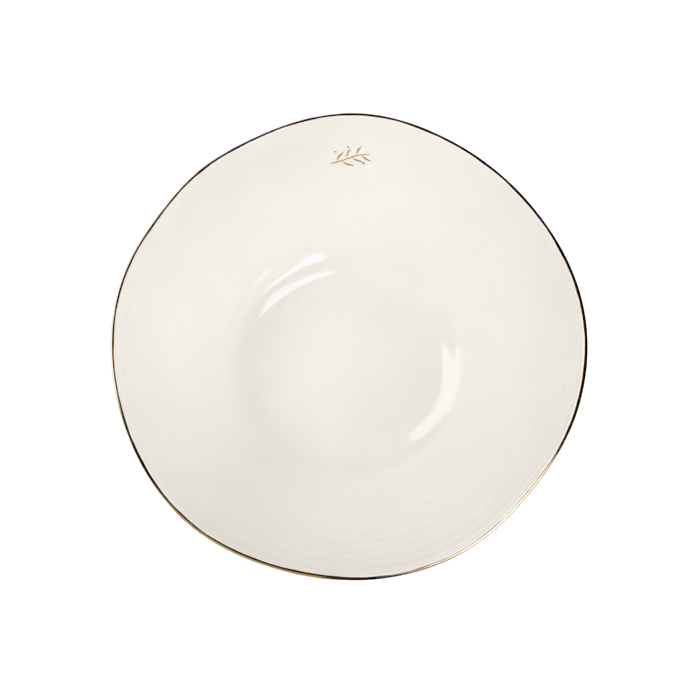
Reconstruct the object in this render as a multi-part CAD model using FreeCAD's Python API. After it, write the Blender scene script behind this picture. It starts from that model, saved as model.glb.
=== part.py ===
"""Porcelain serving bowl with a hand-pressed rim, glaze coats and fired gold lines.

Millimetres, +Z up. The origin is on the table, under the middle of the bowl. +Y is the side of the
painted sprig, and someone eating from the bowl sits at -Y.

The bowl is made in this order, and each step is a piece of its own:
  porcelain_body    floor and wall of fired clay, with a rounded lip that was pressed out of round
  foot_ring         turned ring of the same clay, luted under the floor, bare where it stands
  inner_glaze, outer_glaze, recess_glaze    glaze coats inside, outside and inside the foot
  rim_gold_band     gold lustre brushed over the lip
  sprig_*           gold lustre strokes painted on the inner wall

The body's wall is drawn once, as a profile in (radius, height). Every coat is that profile moved
outwards by the coats under it, so neighbouring pieces share their faces.
"""
import FreeCAD, Part
import math
import os

Vector = FreeCAD.Vector

# Overall shape of the clay
RIM_RADIUS = 140.8  # outside of the lip, before the presses
BODY_HEIGHT = 100.0  # table to the highest point of the clay lip
WELL_RADIUS = 62.0  # where the flat floor turns up into the wall
FLOOR_FLAT_RADIUS = 34.0  # the middle of the floor is a true plane
RIM_SLOPE = 59.0  # degrees, the wall's lean at the lip
WALL_BELLY = 6.0  # how far the wall bows outside a straight cone

# Clay thicknesses
FLOOR_THICKNESS = 5.0
LOW_WALL_THICKNESS = 5.0  # just above the well's edge, thinning to the lip
LIP_RADIUS = 1.4  # the lip is a full round

# Foot ring
FOOT_HEIGHT = 5.0
FOOT_SETBACK = 1.0  # its outside, in from the well's edge
FOOT_TOP_WIDTH = 8.0
FOOT_DRAFT = 1.4  # each side leans in this much towards the table
FOOT_ROUND = 0.8  # radius of the two edges at the table
UNDERSIDE_LAND = 3.6  # flat of the underside left outside the foot
UNDERSIDE_TURN = 3.7  # from the land's edge to where the wall's tangent meets it

# Coats
GLAZE = 0.25
GOLD = 0.15
GOLD_INNER_SWEEP = 22.0  # degrees of the lip that the gold covers, inwards of its crest
GOLD_OUTER_SWEEP = 86.0  # and outwards

# How the rim was pressed: direction, half width in degrees, and push in mm, outwards positive
RIM_PRESSES = (
    (9.0, 16.0, 2.5),
    (36.0, 35.0, -4.8),
    (85.0, 10.0, 1.9),
    (118.0, 10.0, -2.6),
    (145.0, 10.0, -3.0),
    (228.0, 14.0, 2.5),
    (292.0, 17.0, 1.0),
    (319.0, 11.0, -2.5),
)
PRESS_FADE = 1.4  # power of the height: the presses die out before the floor
RIM_DIPS = 3  # the lip also sags a little at this many places
RIM_DIP_DEPTH = 0.7
RIM_DIP_START = 40.0  # degrees, a high point between two dips
DIP_FADE = 3.0

# Painted sprig, in its own flat drawing: x to the right, y up the wall
SPRIG_DROP = 30.5  # from the lip's crest down the wall to the drawing's origin
SPRIG_SCALE = 1.0
STEM_POINTS = ((-11.6, -5.2), (-6.8, -4.3), (-0.8, -1.9), (5.6, 0.6), (12.6, 1.6))
STEM_WIDTH = 0.9
LEAF_LENGTH = 8.2
LEAF_WIDTH = 1.3
LEAF_SPREAD = 46.0  # degrees between a leaf and the stem
LEAF_BEND = 0.8  # sideways bow of a leaf's middle
LEAF_STARTS = (0.14, 0.40, 0.66)  # shares of the stem's length, above it
LEAF_STARTS_BELOW = (0.27, 0.53, 0.79)
BERRY_PLACES = ((-8.6, 3.4), (-0.9, 6.9), (8.6, -5.4))
BERRY_LENGTH = 1.7
BERRY_WIDTH = 1.1
STROKE_TIP = 0.35  # a brush stroke's narrowest width

# How the surfaces are drawn
STATIONS = 72  # control points in each ring
SEAM_ANGLE = -90.0
RING_SHRINK = (2.0 + math.cos(2.0 * math.pi / STATIONS)) / 3.0  # a cubic ring runs inside its points

# Worked out from the above
FLOOR_TOP = FOOT_HEIGHT + FLOOR_THICKNESS
FOOT_OUTER_RADIUS = WELL_RADIUS - FOOT_SETBACK
FOOT_INNER_RADIUS = FOOT_OUTER_RADIUS - FOOT_TOP_WIDTH
LIP_CENTRE = (RIM_RADIUS - LIP_RADIUS, BODY_HEIGHT - LIP_RADIUS)
UP_WALL = (math.cos(math.radians(RIM_SLOPE)), math.sin(math.radians(RIM_SLOPE)))
LIP_INSIDE = 90.0 + RIM_SLOPE  # the lip's round meets the wall's inside at this angle
LIP_OUTSIDE = RIM_SLOPE - 90.0


def along(point, direction, distance):
    """A profile point moved by distance along a unit direction."""
    return (point[0] + direction[0] * distance, point[1] + direction[1] * distance)


def on_lip(angle, radius):
    """Point of a circle about the lip's centre; 0 degrees points outwards and 90 up."""
    turn = math.radians(angle)
    return along(LIP_CENTRE, (math.cos(turn), math.sin(turn)), radius)


def lip_arc(start, end, coat):
    """Four control points of the lip's round from start to end, on top of a coat."""
    radius = LIP_RADIUS + coat
    reach = 4.0 / 3.0 * math.tan(math.radians(end - start) / 4.0) * radius
    first, last = on_lip(start, radius), on_lip(end, radius)
    leave = (-math.sin(math.radians(start)), math.cos(math.radians(start)))
    arrive = (-math.sin(math.radians(end)), math.cos(math.radians(end)))
    return [first, along(first, leave, reach), along(last, arrive, -reach), last]


def moved_left(points, distances):
    """The profile moved to its left by a distance at each point, with mitred corners."""
    normals = []
    for a, b in zip(points, points[1:]):
        length = math.dist(a, b)
        normals.append((-(b[1] - a[1]) / length, (b[0] - a[0]) / length))
    before = [normals[0]] + normals
    after = normals + [normals[-1]]
    moved = []
    for point, n, m, distance in zip(points, before, after, distances):
        both = (n[0] + m[0], n[1] + m[1])
        stretch = 2.0 / (both[0] ** 2 + both[1] ** 2)
        moved.append(along(point, both, distance * stretch))
    return moved


def clay_inside():
    """Control points of the body's inner profile, from the flat floor up to the lip's round."""
    top = on_lip(LIP_INSIDE, LIP_RADIUS)
    corner = (WELL_RADIUS, FLOOR_TOP)
    chord = math.dist(corner, top)
    lean = ((top[0] - corner[0]) / chord, (top[1] - corner[1]) / chord)
    out = (lean[1], -lean[0])
    points = [(FLOOR_FLAT_RADIUS, FLOOR_TOP), ((FLOOR_FLAT_RADIUS + WELL_RADIUS) / 2.0, FLOOR_TOP), corner]
    for share in (0.2, 0.5):
        bow = WALL_BELLY * 4.0 * share * (1.0 - share)
        points.append(along(along(corner, lean, share * chord), out, bow))
    points.append(along(top, UP_WALL, -0.22 * chord))
    points.append(top)
    return points


def clay_outside():
    """Control points of the body's outer profile, from the lip's round down to the underside."""
    inside = clay_inside()
    top = on_lip(LIP_OUTSIDE, LIP_RADIUS)
    wall_ends = (LOW_WALL_THICKNESS, 2.0 * LIP_RADIUS)
    thickness = [FLOOR_THICKNESS] * 3
    for share in (0.2, 0.5, 0.8, 1.0):
        thickness.append(wall_ends[0] + (wall_ends[1] - wall_ends[0]) * share)
    outside = moved_left(inside, [-t for t in thickness])
    last_span = math.dist(inside[-1], inside[-2])
    land_edge = FOOT_OUTER_RADIUS + UNDERSIDE_LAND
    return [
        top,
        along(top, UP_WALL, -last_span),
        outside[4],
        outside[3],
        (land_edge + UNDERSIDE_TURN, FOOT_HEIGHT),
        (land_edge, FOOT_HEIGHT),
    ]


def inner_profile(coat):
    points = clay_inside()
    return moved_left(points, [coat] * len(points))


def outer_profile(coat):
    points = clay_outside()
    return moved_left(points, [coat] * len(points))


def press(angle):
    """How far the rim was pushed out in this direction."""
    push = 0.0
    for centre, half_width, depth in RIM_PRESSES:
        away = (angle - centre + 180.0) % 360.0 - 180.0
        push += depth * math.exp(-0.5 * (away / half_width) ** 2)
    return push


def dip(angle):
    """How far the lip sags in this direction, never above its highest point."""
    return RIM_DIP_DEPTH * (math.cos(math.radians(RIM_DIPS * (angle - RIM_DIP_START))) - 1.0) / 2.0


def ring(radius, height):
    """Control points of the closed curve that a profile point makes round the pressed bowl."""
    rise = max(0.0, (height - FLOOR_TOP) / (BODY_HEIGHT - FLOOR_TOP))
    points = []
    for k in range(STATIONS):
        angle = SEAM_ANGLE + 360.0 * k / STATIONS
        turn = math.radians(angle)
        reach = (radius + press(angle) * rise**PRESS_FADE) / RING_SHRINK
        level = height + dip(angle) * rise**DIP_FADE
        points.append(Vector(reach * math.cos(turn), reach * math.sin(turn), level))
    return points


def wall_surface(profile):
    """The surface that a profile's control points make round the bowl."""
    degree = min(3, len(profile) - 1)
    spans = len(profile) - degree
    surface = Part.BSplineSurface()
    surface.buildFromPolesMultsKnots(
        [ring(*point) for point in profile],
        [degree + 1] + [1] * (spans - 1) + [degree + 1],
        [1] * (STATIONS + 1),
        list(range(spans + 1)),
        list(range(STATIONS + 1)),
        False,
        True,
        degree,
        3,
    )
    return surface


def wall_face(profile):
    return wall_surface(profile).toShape()


def ring_wire(point):
    curve = Part.BSplineCurve()
    curve.buildFromPolesMultsKnots(
        ring(*point), [1] * (STATIONS + 1), list(range(STATIONS + 1)), True, 3
    )
    return Part.Wire(curve.toShape())


def circle_wire(radius, height):
    return Part.Wire(Part.makeCircle(radius, Vector(0, 0, height)))


def flat_face(*wires):
    """A level face inside the first wire, with the others as holes."""
    return Part.makeFace(Part.makeCompound(list(wires)), "Part::FaceMakerBullseye")


def closed_solid(faces):
    shell = Part.Shell(faces)
    shell.sewShape()
    solid = Part.Solid(shell)
    if solid.Volume < 0:
        solid.reverse()
    return solid


def inner_skin(coat):
    """Faces of the inside, from the lip's crest to the middle of the floor, on top of a coat."""
    profile = inner_profile(coat)
    return [
        wall_face(lip_arc(90.0, 90.0 + GOLD_INNER_SWEEP, coat)),
        wall_face(lip_arc(90.0 + GOLD_INNER_SWEEP, LIP_INSIDE, coat)),
        wall_face(profile),
        flat_face(ring_wire(profile[0])),
    ]


def outer_skin(coat):
    """Faces of the outside, from the lip's crest to the edge of the underside's flat."""
    return [
        wall_face(lip_arc(90.0, 90.0 - GOLD_OUTER_SWEEP, coat)),
        wall_face(lip_arc(90.0 - GOLD_OUTER_SWEEP, LIP_OUTSIDE, coat)),
        wall_face(outer_profile(coat)),
    ]


def edge_ring(angle, low_coat, high_coat):
    """The narrow face across a coat, at an angle of the lip's round."""
    return wall_face([on_lip(angle, LIP_RADIUS + low_coat), on_lip(angle, LIP_RADIUS + high_coat)])


def porcelain_body():
    underside = flat_face(ring_wire(clay_outside()[-1]))
    return closed_solid(inner_skin(0.0) + outer_skin(0.0) + [underside])


def foot_ring():
    """Turned ring under the floor. Its sides lean in, and its standing edges are rounded."""
    section = Part.makePolygon(
        [
            Vector(FOOT_INNER_RADIUS, 0, FOOT_HEIGHT),
            Vector(FOOT_OUTER_RADIUS, 0, FOOT_HEIGHT),
            Vector(FOOT_OUTER_RADIUS - FOOT_DRAFT, 0, 0),
            Vector(FOOT_INNER_RADIUS + FOOT_DRAFT, 0, 0),
            Vector(FOOT_INNER_RADIUS, 0, FOOT_HEIGHT),
        ]
    )
    turned = Part.Face(section).revolve(Vector(0, 0, 0), Vector(0, 0, 1), 360)
    standing = [e for e in turned.Edges if e.BoundBox.ZMax < FOOT_ROUND / 2.0]
    return turned.makeFillet(FOOT_ROUND, standing)


def inner_glaze():
    return closed_solid(inner_skin(0.0) + inner_skin(GLAZE) + [edge_ring(90.0, 0.0, GLAZE)])


def outer_glaze():
    """Coat of the outside. It ends against the foot ring."""
    top_land, bottom_land = clay_outside()[-1], outer_profile(GLAZE)[-1]
    stop_top = circle_wire(FOOT_OUTER_RADIUS, top_land[1])
    stop_bottom = circle_wire(FOOT_OUTER_RADIUS, bottom_land[1])
    lands = [
        flat_face(ring_wire(top_land), stop_top),
        flat_face(ring_wire(bottom_land), stop_bottom),
        stop_top.extrude(Vector(0, 0, bottom_land[1] - top_land[1])).Faces[0],
    ]
    return closed_solid(outer_skin(0.0) + outer_skin(GLAZE) + lands + [edge_ring(90.0, 0.0, GLAZE)])


def recess_glaze():
    return Part.makeCylinder(FOOT_INNER_RADIUS, GLAZE, Vector(0, 0, FOOT_HEIGHT - GLAZE))


def rim_gold_band():
    faces = []
    for coat in (GLAZE, GLAZE + GOLD):
        faces.append(wall_face(lip_arc(90.0, 90.0 + GOLD_INNER_SWEEP, coat)))
        faces.append(wall_face(lip_arc(90.0, 90.0 - GOLD_OUTER_SWEEP, coat)))
    for angle in (90.0 + GOLD_INNER_SWEEP, 90.0 - GOLD_OUTER_SWEEP):
        faces.append(edge_ring(angle, GLAZE, GLAZE + GOLD))
    return closed_solid(faces)


class GlazedWall:
    """Maps the sprig's flat drawing onto the inner glaze."""

    def __init__(self):
        self.surface = wall_surface(inner_profile(GLAZE))
        start = along(on_lip(LIP_INSIDE, LIP_RADIUS + GLAZE), UP_WALL, -SPRIG_DROP)
        self.origin = Vector(0, start[0], start[1])
        self.across = Vector(1, 0, 0)
        self.up = Vector(0, UP_WALL[0], UP_WALL[1])
        self.inward = self.across.cross(self.up)

    def under(self, x, y):
        """The surface's own coordinates under a drawing point."""
        flat = self.origin + self.across * (x * SPRIG_SCALE) + self.up * (y * SPRIG_SCALE)
        return self.surface.parameter(flat)

    def point(self, x, y):
        return self.surface.value(*self.under(x, y))

    def normal(self, x, y):
        """The direction out of the glaze, into the bowl."""
        normal = self.surface.normal(*self.under(x, y))
        return normal if normal.dot(self.inward) > 0 else normal * -1.0


def drawn_curve(points):
    curve = Part.BSplineCurve()
    curve.interpolate([Vector(x, y, 0) for x, y in points])
    return curve


def brush_stroke(wall, curve, width_at, steps):
    """A thin solid on the glaze along a drawn curve, as wide as width_at says at each share."""
    sections = []
    for k in range(steps + 1):
        share = k / steps
        at = curve.parameterAtDistance(share * curve.length(), curve.FirstParameter)
        middle, heading = curve.value(at), curve.tangent(at)[0]
        side = Vector(-heading.y, heading.x, 0) * (width_at(share) / 2.0)
        left = wall.point(middle.x + side.x, middle.y + side.y)
        right = wall.point(middle.x - side.x, middle.y - side.y)
        thick = wall.normal(middle.x, middle.y) * GOLD
        sections.append(Part.makePolygon([left, right, right + thick, left + thick, left]))
    stroke = Part.makeLoft(sections, True, True)
    if stroke.Volume < 0:
        stroke.reverse()
    return stroke


def stem_width(share):
    return STROKE_TIP + (STEM_WIDTH - STROKE_TIP) * math.sin(math.pi * (0.12 + 0.8 * share))


def leaf_width(share):
    return STROKE_TIP + (LEAF_WIDTH - STROKE_TIP) * math.sin(math.pi * share) ** 1.2


def berry_width(share):
    return STROKE_TIP + (BERRY_WIDTH - STROKE_TIP) * math.sin(math.pi * share) ** 0.5


def leaf_curve(stem, start, side, length):
    """A leaf's middle line, leaving the stem to its left (side 1) or right (side -1)."""
    at = stem.parameterAtDistance(start * stem.length(), stem.FirstParameter)
    root, heading = stem.value(at), stem.tangent(at)[0]
    turn = math.radians(LEAF_SPREAD) * side
    axis = Vector(
        heading.x * math.cos(turn) - heading.y * math.sin(turn),
        heading.x * math.sin(turn) + heading.y * math.cos(turn),
        0,
    )
    bow = Vector(-axis.y, axis.x, 0) * (LEAF_BEND * side)
    root = root + axis * STEM_WIDTH
    middle, tip = root + axis * (length / 2.0) + bow, root + axis * length
    return drawn_curve([(p.x, p.y) for p in (root, middle, tip)])


def sprig():
    """The painted sprig, one solid a brush stroke, by node name."""
    wall = GlazedWall()
    stem = drawn_curve(STEM_POINTS)
    strokes = {"sprig_stem": brush_stroke(wall, stem, stem_width, 24)}
    rows = (("upper", 1, LEAF_STARTS), ("lower", -1, LEAF_STARTS_BELOW))
    for row, side, starts in rows:
        for n, start in enumerate(starts, 1):
            length = LEAF_LENGTH * (1.0 - 0.25 * start)
            curve = leaf_curve(stem, start, side, length)
            strokes[f"sprig_leaf_{row}_{n}"] = brush_stroke(wall, curve, leaf_width, 10)
    for n, (x, y) in enumerate(BERRY_PLACES, 1):
        half = BERRY_LENGTH / 2.0
        curve = drawn_curve([(x - half, y + half / 3.0), (x, y), (x + half, y - half / 3.0)])
        strokes[f"sprig_berry_{n}"] = brush_stroke(wall, curve, berry_width, 6)
    return strokes


def main():
    pieces = {
        "porcelain_body": porcelain_body(),
        "foot_ring": foot_ring(),
        "inner_glaze": inner_glaze(),
        "outer_glaze": outer_glaze(),
        "recess_glaze": recess_glaze(),
        "rim_gold_band": rim_gold_band(),
    }
    pieces.update(sprig())
    os.makedirs("parts", exist_ok=True)
    for name, shape in pieces.items():
        shape.exportStep(f"parts/{name}.step")
        print(f"{name}: {shape.Volume / 1000.0:.3f} cm3, valid {shape.isValid()}")


main()
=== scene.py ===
"""Porcelain serving bowl: glaze coats with throwing rings, brushed gold lustre and a studio.

Shapes are worked out in millimetres, in the CAD frame: +Z up, +Y towards the painted sprig.
Angles go round from +X. A profile point is (radius, height, press share, dip share): the last two
say how much of the rim's presses and dips reaches that point.
"""
import bpy
import math
import numpy as np
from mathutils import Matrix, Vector
from mathutils.bvhtree import BVHTree


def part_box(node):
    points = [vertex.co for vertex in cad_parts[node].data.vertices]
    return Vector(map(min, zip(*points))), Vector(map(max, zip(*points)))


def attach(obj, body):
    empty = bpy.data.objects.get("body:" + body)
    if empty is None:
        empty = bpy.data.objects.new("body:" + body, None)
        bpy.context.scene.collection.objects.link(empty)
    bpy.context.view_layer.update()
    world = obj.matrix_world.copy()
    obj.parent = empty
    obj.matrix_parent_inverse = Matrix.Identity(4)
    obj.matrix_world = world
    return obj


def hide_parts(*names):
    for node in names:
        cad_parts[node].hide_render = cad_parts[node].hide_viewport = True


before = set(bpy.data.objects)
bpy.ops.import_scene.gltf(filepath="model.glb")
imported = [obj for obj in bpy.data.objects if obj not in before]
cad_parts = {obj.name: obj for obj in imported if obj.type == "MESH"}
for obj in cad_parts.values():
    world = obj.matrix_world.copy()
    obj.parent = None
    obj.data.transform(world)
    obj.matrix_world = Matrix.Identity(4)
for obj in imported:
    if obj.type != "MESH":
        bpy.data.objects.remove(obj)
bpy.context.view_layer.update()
MM = 0.001

# Clay, as in the CAD
RIM_RADIUS = 140.8
BODY_HEIGHT = 1000.0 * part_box("porcelain_body")[1].z
WELL_RADIUS = 62.0
FLOOR_FLAT_RADIUS = 34.0
RIM_SLOPE = 59.0
WALL_BELLY = 6.0
FOOT_HEIGHT = 1000.0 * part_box("porcelain_body")[0].z
FLOOR_TOP = 1000.0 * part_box("inner_glaze")[0].z
FLOOR_THICKNESS = FLOOR_TOP - FOOT_HEIGHT
LOW_WALL_THICKNESS = 5.0
LIP_RADIUS = 1.4
FOOT_OUTER_RADIUS = 61.0
FOOT_INNER_RADIUS = 53.0
FOOT_DRAFT = 1.4
FOOT_ROUND = 0.8
FOOT_FLANK_LEAN = 0.28  # how far the foot's side leans in over the first millimetre
UNDERSIDE_LAND = 3.6
UNDERSIDE_TURN = 3.7
GLAZE = 0.25
GLAZE_POOL = 0.25  # extra where the glaze pools against the foot
GLAZE_CREEP = 1.0  # how far it creeps down the foot's side
GOLD = 0.15
RIM_PRESSES = (
    (9.0, 16.0, 2.5),
    (36.0, 35.0, -4.8),
    (85.0, 10.0, 1.9),
    (118.0, 10.0, -2.6),
    (145.0, 10.0, -3.0),
    (228.0, 14.0, 2.5),
    (292.0, 17.0, 1.0),
    (319.0, 11.0, -2.5),
)
PRESS_FADE = 1.4
PRESS_BLUR = 5.0  # degrees between the CAD's control points, which soften the presses
RIM_DIPS = 3
RIM_DIP_DEPTH = 0.7
RIM_DIP_START = 40.0
DIP_FADE = 3.0

# Points round each mesh
GLAZE_COLUMNS = 300
RECESS_COLUMNS = 240
FOOT_COLUMNS = 360
GOLD_COLUMNS = 1080

# Marks of the potter's hands on the inner wall
THROWING_RINGS = (  # spacing along the wall, depth, phase, turns of the spiral
    (11.0, 0.075, 0.4, 1),
    (6.3, 0.042, 2.1, 1),
    (3.7, 0.016, 4.4, -1),
)
CALM_SIDE = 115.0  # degrees; the rings are faintest here and deepest opposite
RINGS_START = (78.0, 98.0)  # radii between which the rings fade in above the well
RINGS_END = (RIM_RADIUS - 9.0, RIM_RADIUS - 3.0)  # and out again below the lip
RIDGES = (  # radius, its drift a degree, width, height, middle angle, half width in degrees
    (76.8, -0.06, 1.5, 0.42, 160.0, 38.0),
    (135.6, 0.004, 0.5, 0.18, 10.0, 75.0),
    (134.6, -0.006, 0.55, 0.20, 130.0, 50.0),
    (135.4, 0.005, 0.5, 0.16, 215.0, 50.0),
    (134.4, -0.008, 0.55, 0.20, 312.0, 40.0),
    (131.0, 0.03, 1.1, 0.16, 335.0, 35.0),
    (126.0, 0.04, 1.3, 0.14, 214.0, 30.0),
)

# The gold brushed over the lip: angle round the rim, outer edge and inner edge. The edges are
# degrees up the lip from its outermost point; 90 is the crest.
BAND_EDGES = (
    (0.0, 20.0, 110.0),
    (14.0, 28.0, 106.0),
    (30.0, 44.0, 100.0),
    (60.0, 44.0, 102.0),
    (88.0, 56.0, 104.0),
    (102.0, 68.0, 108.0),
    (122.0, 68.0, 108.0),
    (128.0, 62.0, 116.0),
    (134.0, 70.0, 110.0),
    (170.0, 71.0, 111.0),
    (192.0, 66.0, 110.0),
    (208.0, 46.0, 106.0),
    (232.0, 42.0, 108.0),
    (250.0, 48.0, 122.0),
    (264.0, 40.0, 120.0),
    (274.0, 30.0, 90.0),
    (325.0, 30.0, 88.0),
    (336.0, 32.0, 96.0),
    (345.0, 16.0, 110.0),
)
GOLD_FLATS = (  # middle angle and half width round the rim, middle and half angle on the lip
    (143.0, 56.0, 91.0, 18.0),
    (303.0, 32.0, 63.0, 14.0),
)
GOLD_EDGE = 0.02  # thickness where a stroke runs out
GOLD_TAPER = 0.08  # the smaller, the later a stroke thins towards its edges
GOLD_UNDER = 0.02  # how far the band's underside dips into the glaze
BRUSH_WAVES = ((23.0, 1.0, 1.0), (37.0, 2.5, 0.7), (71.0, 0.0, 0.5))  # waves round, phase, size
OUTER_WANDER = 1.5  # degrees up the lip
INNER_WANDER = 3.0

# The painted sprig, drawn flat: x across the wall, y up it
SPRIG_DROP = 30.5
STEM_POINTS = ((-11.6, -5.2), (-6.8, -4.3), (-0.8, -1.9), (5.6, 0.6), (12.6, 1.6))
STEM_WIDTH = 0.9
LEAF_LENGTH = 8.2
LEAF_WIDTH = 1.3
LEAF_SPREAD = 46.0
LEAF_BEND = 0.8
LEAF_STARTS = {"upper": (0.14, 0.40, 0.66), "lower": (0.27, 0.53, 0.79)}
BERRY_PLACES = ((-8.6, 3.4), (-0.9, 6.9), (8.6, -5.4))
BERRY_LENGTH = 1.7
BERRY_WIDTH = 1.1
STROKE_TIP = 0.35
STROKE_BACK = 0.105  # height of a stroke's rounded back where it is thickest
STROKE_UNDER = 0.03  # how far a stroke's underside dips into the glaze

LIP_CENTRE = (RIM_RADIUS - LIP_RADIUS, BODY_HEIGHT - LIP_RADIUS)
UP_WALL = (math.cos(math.radians(RIM_SLOPE)), math.sin(math.radians(RIM_SLOPE)))
LIP_INSIDE = 90.0 + RIM_SLOPE
LIP_OUTSIDE = RIM_SLOPE - 90.0


# ---------------------------------------------------------------- profiles


def along(point, direction, distance):
    return (point[0] + direction[0] * distance, point[1] + direction[1] * distance)


def on_lip(angle, radius):
    turn = math.radians(angle)
    return along(LIP_CENTRE, (math.cos(turn), math.sin(turn)), radius)


def moved_left(points, distances):
    """The control points moved to the profile's left, with mitred corners."""
    normals = []
    for a, b in zip(points, points[1:]):
        length = math.dist(a, b)
        normals.append((-(b[1] - a[1]) / length, (b[0] - a[0]) / length))
    moved = []
    for point, n, m, distance in zip(
        points, [normals[0]] + normals, normals + [normals[-1]], distances
    ):
        both = (n[0] + m[0], n[1] + m[1])
        moved.append(along(point, both, distance * 2.0 / (both[0] ** 2 + both[1] ** 2)))
    return moved


def clay_inside():
    top = on_lip(LIP_INSIDE, LIP_RADIUS)
    corner = (WELL_RADIUS, FLOOR_TOP)
    chord = math.dist(corner, top)
    lean = ((top[0] - corner[0]) / chord, (top[1] - corner[1]) / chord)
    out = (lean[1], -lean[0])
    middle = ((FLOOR_FLAT_RADIUS + WELL_RADIUS) / 2.0, FLOOR_TOP)
    points = [(FLOOR_FLAT_RADIUS, FLOOR_TOP), middle, corner]
    for share in (0.2, 0.5):
        bow = WALL_BELLY * 4.0 * share * (1.0 - share)
        points.append(along(along(corner, lean, share * chord), out, bow))
    return points + [along(top, UP_WALL, -0.22 * chord), top]


def clay_outside():
    inside = clay_inside()
    top = on_lip(LIP_OUTSIDE, LIP_RADIUS)
    thin = 2.0 * LIP_RADIUS
    thickness = [FLOOR_THICKNESS] * 3
    thickness += [LOW_WALL_THICKNESS + (thin - LOW_WALL_THICKNESS) * s for s in (0.2, 0.5, 0.8, 1.0)]
    outside = moved_left(inside, [-t for t in thickness])
    land_edge = FOOT_OUTER_RADIUS + UNDERSIDE_LAND
    return [
        top,
        along(top, UP_WALL, -math.dist(inside[-1], inside[-2])),
        outside[4],
        outside[3],
        (land_edge + UNDERSIDE_TURN, FOOT_HEIGHT),
        (land_edge, FOOT_HEIGHT),
    ]


def shares(points):
    """Adds to each (radius, height) its press share and dip share."""
    points = np.array(points, float)
    rise = np.clip((points[:, 1] - FLOOR_TOP) / (BODY_HEIGHT - FLOOR_TOP), 0.0, None)
    return np.column_stack([points, rise**PRESS_FADE, rise**DIP_FADE])


def spline(points, count):
    """Points along the clamped cubic B-spline of the control points, by de Boor's rule."""
    points = np.array(points, float)
    degree = min(3, len(points) - 1)
    spans = len(points) - degree
    knots = np.concatenate([np.zeros(degree), np.arange(spans + 1), np.full(degree, spans)])
    found = []
    for u in np.linspace(0.0, spans, count):
        k = min(int(u), spans - 1) + degree
        d = points[k - degree : k + 1].copy()
        for level in range(1, degree + 1):
            for j in range(degree, level - 1, -1):
                low, high = knots[j + k - degree], knots[j + 1 + k - level]
                share = (u - low) / (high - low)
                d[j] = (1.0 - share) * d[j - 1] + share * d[j]
        found.append(d[degree])
    return np.array(found)


def wall_rows(control, coat, count):
    return spline(shares(moved_left(control, [coat] * len(control))), count)


def lip_rows(start, end, coat, count):
    angles = np.linspace(start, end, count)
    return shares([on_lip(angle, LIP_RADIUS + coat) for angle in angles])


def level_rows(start, end, height, count):
    return shares([(radius, height) for radius in np.linspace(start, end, count)])


def joined(*parts):
    """One run of profile rows, without the doubled row where two parts meet."""
    return np.concatenate([parts[0]] + [part[1:] for part in parts[1:]])


# ---------------------------------------------------------------- going round


def angles_of(columns):
    return np.arange(columns) * 360.0 / columns


def gap(angles, centre):
    """Degrees from centre, between -180 and 180."""
    return (angles - centre + 180.0) % 360.0 - 180.0


def press(angles):
    push = np.zeros_like(angles)
    for centre, half_width, depth in RIM_PRESSES:
        push += depth * np.exp(-0.5 * (gap(angles, centre) / half_width) ** 2)
    return push


def soft_press(angles):
    sides = press(angles - PRESS_BLUR) + press(angles + PRESS_BLUR)
    return (sides + 4.0 * press(angles)) / 6.0


def dip(angles):
    return RIM_DIP_DEPTH * (np.cos(np.radians(RIM_DIPS * (angles - RIM_DIP_START))) - 1.0) / 2.0


def turned(rows, angles, lift=0.0):
    """Surface points, (rows, angles, 3), of profile rows; lift moves them to the profile's left."""
    slope = np.gradient(rows[:, :2], axis=0)
    slope /= np.linalg.norm(slope, axis=1, keepdims=True)
    radius = rows[:, 0, None] + rows[:, 2, None] * soft_press(angles) - lift * slope[:, 1, None]
    height = rows[:, 1, None] + rows[:, 3, None] * dip(angles) + lift * slope[:, 0, None]
    turn = np.radians(angles)
    return np.stack([radius * np.cos(turn), radius * np.sin(turn), height], axis=-1)


def smooth_step(x, low, high):
    t = np.clip((x - low) / (high - low), 0.0, 1.0)
    return t * t * (3.0 - 2.0 * t)


def run_length(rows):
    steps = np.linalg.norm(np.diff(rows[:, :2], axis=0), axis=1)
    return np.concatenate([[0.0], np.cumsum(steps)])


def hand_marks(rows, angles):
    """How far the glaze stands proud of its even coat, from throwing rings and ridges."""
    run, turn = run_length(rows)[:, None], np.radians(angles)[None]
    radius = rows[:, 0, None]
    marks = np.zeros((len(rows), len(angles)))
    for spacing, depth, phase, turns in THROWING_RINGS:
        wander = 0.7 * np.sin(2.0 * turn + phase) + 0.4 * np.sin(3.0 * turn - 2.0 * phase)
        wander = wander + 0.35 * np.sin(11.0 * turn + run / 9.0 + phase)
        strength = 0.65 + 0.35 * np.sin(turn + 2.0 * phase + run / 45.0)
        marks += depth * strength * np.sin(2.0 * math.pi * run / spacing + turns * turn + wander)
    marks *= smooth_step(radius, *RINGS_START) * (1.0 - smooth_step(radius, *RINGS_END))
    marks *= 0.6 - 0.4 * np.cos(turn - math.radians(CALM_SIDE))
    for middle, drift, width, height, centre, half_width in RIDGES:
        away = gap(angles, centre)[None]
        across = (radius - middle - drift * away) / width
        marks += height * np.exp(-((away / half_width) ** 4) - 0.5 * across**2)
    return marks


# ---------------------------------------------------------------- meshes


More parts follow.
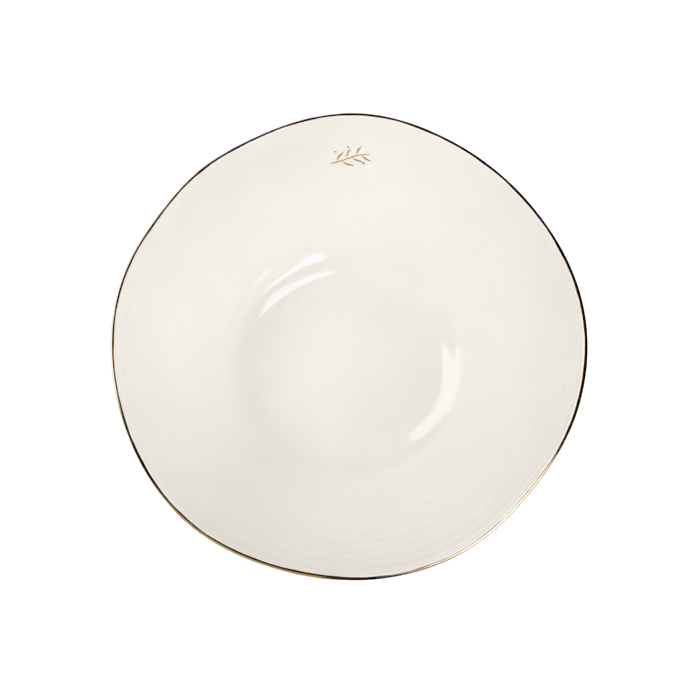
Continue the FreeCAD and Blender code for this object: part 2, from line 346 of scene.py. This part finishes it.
def ring_mesh(name, rings, closed):
    """A closed mesh through rings of points. An open run of rings ends in a point at each end."""
    rings = np.asarray(rings) * MM
    count, columns = rings.shape[:2]
    points = [rings.reshape(-1, 3)]
    if not closed:
        points.append(np.array([rings[0].mean(axis=0), rings[-1].mean(axis=0)]))
    vertices = np.concatenate(points)
    j = np.arange(columns)
    k = (j + 1) % columns
    faces = []
    for i in range(count if closed else count - 1):
        a, b = i * columns, (i + 1) % count * columns
        faces += np.column_stack([a + j, a + k, b + k, b + j]).tolist()
    if not closed:
        first, last = count * columns, (count - 1) * columns
        faces += np.column_stack([k, j, np.full(columns, first)]).tolist()
        faces += np.column_stack([last + j, last + k, np.full(columns, first + 1)]).tolist()
    mesh = bpy.data.meshes.new(name)
    mesh.from_pydata(vertices.tolist(), [], faces)
    if mesh_volume(mesh) < 0.0:
        mesh.flip_normals()
    mesh.polygons.foreach_set("use_smooth", np.ones(len(faces), bool))
    mesh.update()
    piece = bpy.data.objects.new(name, mesh)
    bpy.context.scene.collection.objects.link(piece)
    return piece


def mesh_volume(mesh):
    mesh.calc_loop_triangles()
    corners = np.empty(len(mesh.vertices) * 3)
    mesh.vertices.foreach_get("co", corners)
    corners = corners.reshape(-1, 3)
    triangles = np.empty(len(mesh.loop_triangles) * 3, int)
    mesh.loop_triangles.foreach_get("vertices", triangles)
    a, b, c = (corners[triangles[n::3]] for n in range(3))
    return float(np.einsum("ij,ij->i", a, np.cross(b, c)).sum() / 6.0)


def finish_piece(piece, material, slot, *nodes):
    piece.data.materials.append(material)
    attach(piece, "root")
    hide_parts(*nodes)
    return piece


# ---------------------------------------------------------------- materials


class Nodes:
    """A material's node tree, with short calls for adding and wiring nodes."""

    def __init__(self, name):
        self.material = bpy.data.materials.new(name)
        self.material.use_nodes = True
        self.tree = self.material.node_tree
        self.shader = self.tree.nodes["Principled BSDF"]

    def set(self, **values):
        for name, value in values.items():
            self.shader.inputs[name.replace("_", " ")].default_value = value

    def node(self, kind, settings=None, **inputs):
        made = self.tree.nodes.new(kind)
        for name, value in (settings or {}).items():
            setattr(made, name, value)
        for name, value in inputs.items():
            socket = made.inputs[name.replace("_", " ")]
            if isinstance(value, bpy.types.NodeSocket):
                self.tree.links.new(value, socket)
            else:
                socket.default_value = value
        return made

    def wire(self, output, name):
        self.tree.links.new(output, self.shader.inputs[name])

    def position(self):
        return self.node("ShaderNodeTexCoord").outputs["Object"]

    def noise(self, scale, detail=2.0, roughness=0.5):
        made = self.node(
            "ShaderNodeTexNoise",
            Vector=self.position(), Scale=scale, Detail=detail, Roughness=roughness,
        )
        return made.outputs["Fac"]

    def ramp(self, factor, low, high, start, end):
        """A colour or grey that goes from start to end as factor goes from low to high."""
        made = self.node("ShaderNodeValToRGB", Fac=factor)
        for stop, place, value in zip(made.color_ramp.elements, (low, high), (start, end)):
            stop.position = place
            stop.color = (value, value, value, 1.0) if isinstance(value, float) else (*value, 1.0)
        return made.outputs["Color"]

    def mix(self, factor, a, b):
        made = self.node("ShaderNodeMix", {"data_type": "RGBA"})
        for socket, value in ((made.inputs[0], factor), (made.inputs[6], a), (made.inputs[7], b)):
            if isinstance(value, bpy.types.NodeSocket):
                self.tree.links.new(value, socket)
            else:
                socket.default_value = value if isinstance(value, float) else (*value, 1.0)
        return made.outputs[2]

    def bump(self, height, strength, distance):
        made = self.node("ShaderNodeBump", Height=height, Strength=strength, Distance=distance)
        self.wire(made.outputs["Normal"], "Normal")


CREAM = (0.850, 0.812, 0.752)
CREAM_POOLED = (0.815, 0.778, 0.715)
SPECK = (0.23, 0.17, 0.12)
BARE_CLAY = (0.74, 0.69, 0.61)
GOLD_BRIGHT = (0.88, 0.60, 0.30)
GOLD_WORN = (0.70, 0.42, 0.19)


def specks(nodes, scale, share, size):
    """1 on small round iron specks, in a share of the cells."""
    cells = nodes.node(
        "ShaderNodeTexVoronoi", Vector=nodes.position(), Scale=scale, Randomness=1.0
    )
    near = nodes.ramp(cells.outputs["Distance"], size * 0.6, size, 1.0, 0.0)
    picked = nodes.ramp(cells.outputs["Color"], 1.0 - share - 0.01, 1.0 - share, 0.0, 1.0)
    both = nodes.node("ShaderNodeMath", {"operation": "MULTIPLY"})
    nodes.tree.links.new(near, both.inputs[0])
    nodes.tree.links.new(picked, both.inputs[1])
    return both.outputs[0]


def glaze_material():
    nodes = Nodes("cream_glaze")
    nodes.set(IOR=1.5, Subsurface_Weight=0.12, Subsurface_Scale=0.004)
    nodes.set(Subsurface_Radius=(1.0, 0.75, 0.5))
    clouds = nodes.ramp(nodes.noise(14.0, 3.0, 0.55), 0.35, 0.7, CREAM, CREAM_POOLED)
    nodes.wire(nodes.mix(specks(nodes, 95.0, 0.05, 0.03), clouds, SPECK), "Base Color")
    nodes.wire(nodes.ramp(nodes.noise(60.0), 0.3, 0.8, 0.0, 0.02), "Roughness")
    return nodes.material


def clay_material():
    nodes = Nodes("bare_porcelain")
    nodes.set(IOR=1.5, Subsurface_Weight=0.1, Subsurface_Scale=0.002)
    grain = nodes.ramp(nodes.noise(900.0, 3.0, 0.7), 0.3, 0.75, BARE_CLAY, (0.66, 0.60, 0.52))
    nodes.wire(nodes.mix(specks(nodes, 160.0, 0.2, 0.05), grain, SPECK), "Base Color")
    nodes.wire(nodes.ramp(nodes.noise(200.0), 0.3, 0.8, 0.55, 0.75), "Roughness")
    nodes.bump(nodes.noise(1500.0, 3.0), 0.25, 0.0002)
    return nodes.material


def gold_material():
    nodes = Nodes("gold_lustre")
    nodes.set(Metallic=1.0)
    streaks = nodes.noise(130.0, 4.0, 0.6)
    nodes.wire(nodes.ramp(streaks, 0.42, 0.72, GOLD_BRIGHT, GOLD_WORN), "Base Color")
    nodes.wire(nodes.ramp(nodes.noise(240.0, 3.0), 0.3, 0.75, 0.07, 0.18), "Roughness")
    nodes.bump(nodes.noise(1100.0, 2.0), 0.03, 0.0001)
    return nodes.material


GLAZE_LOOK = glaze_material()
CLAY_LOOK = clay_material()
GOLD_LOOK = gold_material()


# ---------------------------------------------------------------- pieces


def inner_glaze():
    angles = angles_of(GLAZE_COLUMNS)
    inside = clay_inside()
    flat = level_rows(1.0, FLOOR_FLAT_RADIUS, FLOOR_TOP, 3)
    under = joined(flat, wall_rows(inside, 0.0, 24), lip_rows(LIP_INSIDE, 90.0, 0.0, 5))
    floor = level_rows(1.0, FLOOR_FLAT_RADIUS, FLOOR_TOP + GLAZE, 14)
    lip = lip_rows(LIP_INSIDE, 90.0, GLAZE, 12)
    over = joined(floor, wall_rows(inside, GLAZE, 278), lip)
    marks = hand_marks(over, angles)
    rings = np.concatenate([turned(under, angles), turned(over, angles, marks)[::-1]])
    piece = ring_mesh("glazed_inside", rings, closed=False)
    return finish_piece(piece, GLAZE_LOOK, "glaze", "inner_glaze")


def foot_flank(edge, side):
    """Where the foot's side meets the floor: the glaze lies on it. Side is 1 outside, -1 inside."""
    return shares([(edge, FOOT_HEIGHT), (edge - FOOT_FLANK_LEAN * side, FOOT_HEIGHT - GLAZE_CREEP)])


def pooled(edge, side):
    """The glaze's face where it pools against the foot and creeps down its side."""
    face = FOOT_HEIGHT - GLAZE
    return [
        (edge + 2.0 * side, face),
        (edge + 0.7 * side, face),
        (edge + 0.1 * side, face - GLAZE_POOL),
        (edge - 0.1 * side, FOOT_HEIGHT - GLAZE_CREEP),
    ]


def outer_glaze():
    angles = angles_of(GLAZE_COLUMNS)
    outside = clay_outside()
    under = joined(
        lip_rows(90.0, LIP_OUTSIDE, 0.0, 8),
        wall_rows(outside, 0.0, 50),
        level_rows(FOOT_OUTER_RADIUS + UNDERSIDE_LAND, FOOT_OUTER_RADIUS, FOOT_HEIGHT, 3),
        foot_flank(FOOT_OUTER_RADIUS, 1.0),
    )
    pool = spline(shares(pooled(FOOT_OUTER_RADIUS, 1.0)), 10)
    lip = lip_rows(90.0, LIP_OUTSIDE, GLAZE, 12)
    over = joined(lip, wall_rows(outside, GLAZE, 180), pool)
    rings = np.concatenate([turned(under, angles), turned(over, angles)[::-1]])
    piece = ring_mesh("glazed_outside", rings, closed=True)
    return finish_piece(piece, GLAZE_LOOK, "glaze", "outer_glaze")


def recess_glaze():
    angles = angles_of(RECESS_COLUMNS)
    edge = FOOT_INNER_RADIUS
    under = joined(level_rows(1.0, edge, FOOT_HEIGHT, 8), foot_flank(edge, -1.0))
    pool = spline(shares(pooled(edge, -1.0)), 10)
    flat = level_rows(1.0, pool[0, 0], FOOT_HEIGHT - GLAZE, 60)
    over = joined(flat, pool)
    rings = np.concatenate([turned(under, angles), turned(over, angles)[::-1]])
    piece = ring_mesh("glazed_recess", rings, closed=False)
    return finish_piece(piece, GLAZE_LOOK, "glaze", "recess_glaze")


def foot_ring():
    angles = angles_of(FOOT_COLUMNS)
    section = [(FOOT_INNER_RADIUS, FOOT_HEIGHT)]
    section += rounded_foot(FOOT_INNER_RADIUS + FOOT_DRAFT, 1.0)
    section += rounded_foot(FOOT_OUTER_RADIUS - FOOT_DRAFT, -1.0)[::-1]
    section += [(FOOT_OUTER_RADIUS, FOOT_HEIGHT)]
    piece = ring_mesh("standing_ring", turned(shares(section), angles), closed=True)
    return finish_piece(piece, CLAY_LOOK, "fired_porcelain", "foot_ring")


def rounded_foot(low, side):
    """The foot's worn edge at the table. Side is 1 at its inner edge and -1 at its outer one."""
    return [
        (low - 0.22 * side, FOOT_ROUND),
        (low - 0.05 * side, 0.2),
        (low + 0.2 * side, 0.05),
        (low + FOOT_ROUND * side, 0.0),
    ]


def burnished(lip_angle, angles):
    """Factor on the gold's radius that makes its flats straight across, standing on a round."""
    factor = np.ones_like(angles)
    for middle, half_width, flat_middle, flat_half in GOLD_FLATS:
        half = flat_half * np.exp(-((gap(angles, middle) / half_width) ** 4))
        away = np.minimum(abs(lip_angle - flat_middle), half)
        factor = factor / np.cos(np.radians(away))
    return factor


def band_edges(angles):
    """The band's outer and inner edge at each angle, with the brush's wander."""
    stations, outer, inner = np.array(BAND_EDGES).T
    turn = np.radians(angles)
    wander = sum(size * np.sin(waves * turn + phase) for waves, phase, size in BRUSH_WAVES)
    outer_edge = np.interp(angles, stations, outer, period=360.0) + OUTER_WANDER * wander
    inner_wander = INNER_WANDER * np.roll(wander, len(angles) // 12)
    return outer_edge, np.interp(angles, stations, inner, period=360.0) - inner_wander


def over_lip(lip_angle, radius, angles):
    """Points over the lip. Below its round they run straight on down the inner wall."""
    down = radius * np.radians(np.maximum(lip_angle - LIP_INSIDE, 0.0))
    bend = np.radians(np.minimum(lip_angle, LIP_INSIDE))
    out = LIP_CENTRE[0] + radius * np.cos(bend) - down * UP_WALL[0]
    height = LIP_CENTRE[1] + radius * np.sin(bend) - down * UP_WALL[1]
    rise = (height - FLOOR_TOP) / (BODY_HEIGHT - FLOOR_TOP)
    out = out + soft_press(angles) * rise**PRESS_FADE
    height = height + dip(angles) * rise**DIP_FADE
    turn = np.radians(angles)
    return np.stack([out * np.cos(turn), out * np.sin(turn), height], axis=-1)


def gold_band():
    """Lustre over the lip. The brush wandered, so its edges rise and fall, and they thin out."""
    angles = angles_of(GOLD_COLUMNS)
    outer_edge, inner_edge = band_edges(angles)
    rings = []
    for share in np.linspace(0.0, 1.0, 17):
        lip_angle = outer_edge + (inner_edge - outer_edge) * share
        thick = GOLD_EDGE + (GOLD - GOLD_EDGE) * math.sin(math.pi * share) ** GOLD_TAPER
        radius = (LIP_RADIUS + GLAZE + thick) * burnished(lip_angle, angles)
        rings.append(over_lip(lip_angle, radius, angles))
    for share in np.linspace(1.0, 0.0, 9):
        lip_angle = outer_edge + (inner_edge - outer_edge) * share
        rings.append(over_lip(lip_angle, LIP_RADIUS + GLAZE - GOLD_UNDER, angles))
    piece = ring_mesh("gold_rim", rings, closed=True)
    return finish_piece(piece, GOLD_LOOK, "gold_lustre", "rim_gold_band")


class PaintedWall:
    """Lays the sprig's flat drawing on the glaze. The far wall carries it, towards +Y."""

    def __init__(self, glaze):
        mesh = glaze.data
        self.tree = BVHTree.FromPolygons(
            [v.co for v in mesh.vertices], [tuple(f.vertices) for f in mesh.polygons]
        )
        start = along(on_lip(LIP_INSIDE, LIP_RADIUS + GLAZE), UP_WALL, -SPRIG_DROP)
        self.origin = Vector((0.0, start[0], start[1]))
        self.up = Vector((0.0, UP_WALL[0], UP_WALL[1]))
        self.inward = Vector((1.0, 0.0, 0.0)).cross(self.up)

    def place(self, x, y, proud):
        """The point on the glaze under drawing point (x, y), lifted proud of it."""
        flat = self.origin + Vector((x, 0.0, 0.0)) + self.up * y
        found, normal, _, _ = self.tree.ray_cast((flat + self.inward * 10.0) * MM, -self.inward)
        return found / MM + normal.normalized() * proud


def through(points, shares):
    """Points of a smooth curve through the given ones: a quadratic for three, else Catmull-Rom."""
    points = np.array(points, float)
    if len(points) == 3:
        t = np.asarray(shares)[:, None]
        ends = points[0] * (1.0 - t) * (1.0 - 2.0 * t) + points[2] * t * (2.0 * t - 1.0)
        return ends + points[1] * 4.0 * t * (1.0 - t)
    run = np.concatenate([[0.0], np.cumsum(np.linalg.norm(np.diff(points, axis=0), axis=1))])
    ahead = np.vstack([2.0 * points[0] - points[1], points, 2.0 * points[-1] - points[-2]])
    found = []
    for share in shares:
        place = np.interp(share * run[-1], run, np.arange(len(points)))
        k = min(int(place), len(points) - 2)
        t = place - k
        a, b, c, d = ahead[k : k + 4]
        curve = 2.0 * b + (c - a) * t + (2.0 * a - 5.0 * b + 4.0 * c - d) * t**2
        found.append((curve + (3.0 * b - a - 3.0 * c + d) * t**3) / 2.0)
    return np.array(found)


def brush_stroke(wall, node, points, width_at, steps):
    """A stroke of lustre with a rounded back, thickest where the brush pressed."""
    shares = np.linspace(0.0, 1.0, steps + 1)
    line = through(points, shares)
    heading = np.gradient(line, axis=0)
    heading /= np.linalg.norm(heading, axis=1, keepdims=True)
    across = np.linspace(-1.0, 1.0, 11)
    rings = []
    for share, (x, y), (ahead_x, ahead_y) in zip(shares, line, heading):
        half = width_at(share) / 2.0
        full = STROKE_BACK * (0.75 + 0.25 * math.sin(9.0 * share + 5.0 * x))
        back = [(c, GOLD_EDGE + (full - GOLD_EDGE) * (1.0 - c * c)) for c in across]
        belly = [(c, -STROKE_UNDER) for c in across[::-2]]
        ring = [wall.place(x - ahead_y * half * c, y + ahead_x * half * c, h) for c, h in back + belly]
        rings.append([tuple(point) for point in ring])
    piece = ring_mesh(f"painted_{node}", rings, closed=False)
    return finish_piece(piece, GOLD_LOOK, "gold_lustre", node)


def stem_width(share):
    return STROKE_TIP + (STEM_WIDTH - STROKE_TIP) * math.sin(math.pi * (0.12 + 0.8 * share))


def leaf_width(share):
    return STROKE_TIP + (LEAF_WIDTH - STROKE_TIP) * max(math.sin(math.pi * share), 0.0) ** 1.2


def berry_width(share):
    return STROKE_TIP + (BERRY_WIDTH - STROKE_TIP) * max(math.sin(math.pi * share), 0.0) ** 0.5


def leaf_points(start, side):
    """A leaf's root, middle and tip, leaving the stem to its left (side 1) or right (side -1)."""
    near = through(STEM_POINTS, (start - 0.01, start, start + 0.01))
    heading = near[2] - near[0]
    turn = math.atan2(heading[1], heading[0]) + math.radians(LEAF_SPREAD) * side
    axis = np.array([math.cos(turn), math.sin(turn)])
    bow = np.array([-axis[1], axis[0]]) * LEAF_BEND * side
    length = LEAF_LENGTH * (1.0 - 0.25 * start)
    root = near[1] + axis * STEM_WIDTH
    return root, root + axis * length / 2.0 + bow, root + axis * length


def painted_sprig(glaze):
    wall = PaintedWall(glaze)
    brush_stroke(wall, "sprig_stem", STEM_POINTS, stem_width, 90)
    for row, side in (("upper", 1), ("lower", -1)):
        for n, start in enumerate(LEAF_STARTS[row], 1):
            brush_stroke(wall, f"sprig_leaf_{row}_{n}", leaf_points(start, side), leaf_width, 40)
    half = BERRY_LENGTH / 2.0
    for n, (x, y) in enumerate(BERRY_PLACES, 1):
        points = ((x - half, y + half / 3.0), (x, y), (x + half, y - half / 3.0))
        brush_stroke(wall, f"sprig_berry_{n}", points, berry_width, 16)


# ---------------------------------------------------------------- studio


def aimed(piece, place, target):
    piece.location = place
    piece.rotation_euler = (Vector(target) - Vector(place)).to_track_quat("-Z", "Y").to_euler()


def direction(azimuth, elevation):
    a, e = math.radians(azimuth), math.radians(elevation)
    return Vector((math.cos(e) * math.cos(a), math.cos(e) * math.sin(a), math.sin(e)))


LENS = 131.14
AIM = (0.00029, -0.00535)
VIEW_ELEVATION = 77.5
VIEW_DISTANCE = 1.5
SKY_STRENGTH = 0.38
FLOOR_SIZE = 60.0
SPOT_HALF = (0.7, 0.5)  # degrees across and up
LAMP_DISTANCE = 2.4
LAMP_SIZE = 1.1
PANEL_DISTANCE = 6.0
PINK_WHITE = (1.0, 0.985, 0.985)
WARM_WHITE = (1.0, 1.0, 0.985)
PANEL_WHITE = (1.0, 0.98, 0.95)
COOL_WHITE = (0.95, 1.0, 1.5)
AMBER = (1.0, 0.88, 0.66)


def soft_light(name, azimuth, elevation, watts, tint):
    """A big soft lamp. Its mirror image comes from the panels below, so gloss doesn't see it."""
    lamp = bpy.data.lights.new(name, "AREA")
    lamp.shape, lamp.size, lamp.energy, lamp.color = "DISK", LAMP_SIZE, watts, tint
    piece = bpy.data.objects.new(name, lamp)
    bpy.context.scene.collection.objects.link(piece)
    aimed(piece, direction(azimuth, elevation) * LAMP_DISTANCE, (0.0, 0.0, 0.05))
    piece.visible_glossy = False
    piece.visible_camera = False


def glow(name, color, strength):
    material = bpy.data.materials.new(name)
    material.use_nodes = True
    tree = material.node_tree
    tree.nodes.clear()
    out = tree.nodes.new("ShaderNodeOutputMaterial")
    lit = tree.nodes.new("ShaderNodeEmission")
    lit.inputs["Color"].default_value = (*color, 1.0)
    lit.inputs["Strength"].default_value = strength
    tree.links.new(lit.outputs[0], out.inputs["Surface"])
    return material


def stage_mesh(name, vertices, faces, material, sees):
    """A stage piece that only the named kinds of ray see."""
    mesh = bpy.data.meshes.new(name)
    mesh.from_pydata([tuple(v) for v in vertices], [], faces)
    mesh.materials.append(material)
    piece = bpy.data.objects.new(name, mesh)
    bpy.context.scene.collection.objects.link(piece)
    for kind in ("camera", "diffuse", "glossy", "transmission", "volume_scatter", "shadow"):
        setattr(piece, f"visible_{kind}", kind in sees)
    return piece


def panel(name, outline, strength, color=PANEL_WHITE):
    """A lit panel far away that only reflections see; its outline is (azimuth, elevation)."""
    corners = [direction(*corner) * PANEL_DISTANCE + Vector((0.0, 0.0, 0.03)) for corner in outline]
    material = glow(name, color, strength)
    stage_mesh(name, corners, [tuple(range(len(corners)))], material, ("glossy",))


def studio():
    world = bpy.data.worlds.new("white_tent")
    bpy.context.scene.world = world
    world.use_nodes = True
    sky = world.node_tree.nodes["Background"]
    sky.inputs["Color"].default_value = (1.0, 1.0, 1.0, 1.0)
    sky.inputs["Strength"].default_value = SKY_STRENGTH
    world.cycles_visibility.glossy = False
    lamps()
    panels()
    spots()
    floor()


def lamps():
    soft_light("left_lamp", 180.0, 47.0, 28.0, PINK_WHITE)
    soft_light("overhead_lamp", 315.0, 72.0, 17.0, WARM_WHITE)
    soft_light("low_right_lamp", 315.0, 28.0, 20.5, WARM_WHITE)
    soft_light("back_right_lamp", 45.0, 28.0, 11.0, WARM_WHITE)


def panels():
    """What the gloss mirrors: lit panels at both sides, a dim one near, a strip at the right."""
    panel("left_panel", (
        (110.0, 69.5), (125.0, 62.5), (140.0, 59.2), (162.0, 61.7), (172.0, 60.5),
        (177.5, 55.0), (177.5, 46.0), (173.7, 40.0), (171.0, 35.5), (175.0, 31.0),
        (179.5, 28.0), (179.5, 24.5), (175.0, 12.0), (155.0, 10.0), (145.0, 24.0),
        (138.7, 31.0), (132.5, 37.5), (125.0, 41.0), (120.0, 49.0), (115.0, 60.0),
    ), 3.0)
    panel("right_panel", (
        (276.5, 51.5), (280.0, 53.0), (290.0, 53.7), (307.5, 53.7), (325.0, 50.0), (337.5, 42.5),
        (342.5, 36.0), (338.7, 33.0), (330.0, 31.0), (321.0, 31.5), (315.0, 36.0),
        (307.5, 41.0), (295.0, 42.5), (285.0, 47.0), (279.0, 49.5),
    ), 3.2, COOL_WHITE)
    panel("right_panel_foot", (
        (284.0, 24.5), (287.5, 28.0), (300.0, 27.0), (320.0, 25.0), (330.5, 23.0), (325.0, 21.0),
        (312.0, 22.5), (300.0, 21.0), (295.0, 19.0), (287.5, 20.0),
    ), 3.2, COOL_WHITE)
    panel("near_left_panel", (
        (203.0, 20.0), (230.0, 18.0), (260.0, 20.0), (261.0, 50.0), (256.0, 76.0), (230.0, 78.0),
        (206.0, 72.0), (202.0, 50.0),
    ), 0.6, AMBER)
    panel("far_strip", (
        (343.0, 57.0), (350.0, 58.7), (0.0, 60.3), (20.0, 63.0), (45.0, 65.0), (45.0, 65.8),
        (20.0, 63.9), (0.0, 61.3), (350.0, 59.7), (343.0, 57.6),
    ), 0.7)


def spots():
    """Six small lit squares that show as dots in the gloss."""
    for azimuth, elevation in ((227.0, 41.3), (228.0, 32.0), (228.0, 19.7)):
        for side in (-1.5, 1.5):
            spot = azimuth + side
            outline = [
                (spot + SPOT_HALF[0] * x, elevation + SPOT_HALF[1] * y)
                for x, y in ((-1, -1), (1, -1), (1, 1), (-1, 1))
            ]
            panel(f"spot_{spot:.0f}_{elevation:.0f}", outline, 3.0)


def floor():
    half = FLOOR_SIZE / 2.0
    square = [(-half, -half, 0.0), (half, -half, 0.0), (half, half, 0.0), (-half, half, 0.0)]
    stage_mesh("pale_floor", square, [(0, 1, 2, 3)], floor_material(), ("camera", "diffuse", "shadow"))


def floor_material():
    nodes = Nodes("pale_floor")
    nodes.set(Base_Color=(0.35, 0.35, 0.35, 1.0), Roughness=0.9)
    nodes.set(Emission_Color=(1.0, 1.0, 1.0, 1.0), Emission_Strength=0.90)
    return nodes.material


def camera():
    """Looks steeply down into the bowl from the side opposite the sprig."""
    lens = bpy.data.cameras.new("view")
    lens.sensor_width, lens.lens = 36.0, LENS
    piece = bpy.data.objects.new("view", lens)
    bpy.context.scene.collection.objects.link(piece)
    target = Vector((*AIM, BODY_HEIGHT * MM))
    aimed(piece, target + direction(270.0, VIEW_ELEVATION) * VIEW_DISTANCE, target)
    bpy.context.scene.camera = piece


inside = inner_glaze()
outer_glaze()
recess_glaze()
foot_ring()
gold_band()
painted_sprig(inside)
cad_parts["porcelain_body"].data.materials.clear()
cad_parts["porcelain_body"].data.materials.append(CLAY_LOOK)
studio()
camera()
bpy.context.scene.view_settings.view_transform = "Standard"
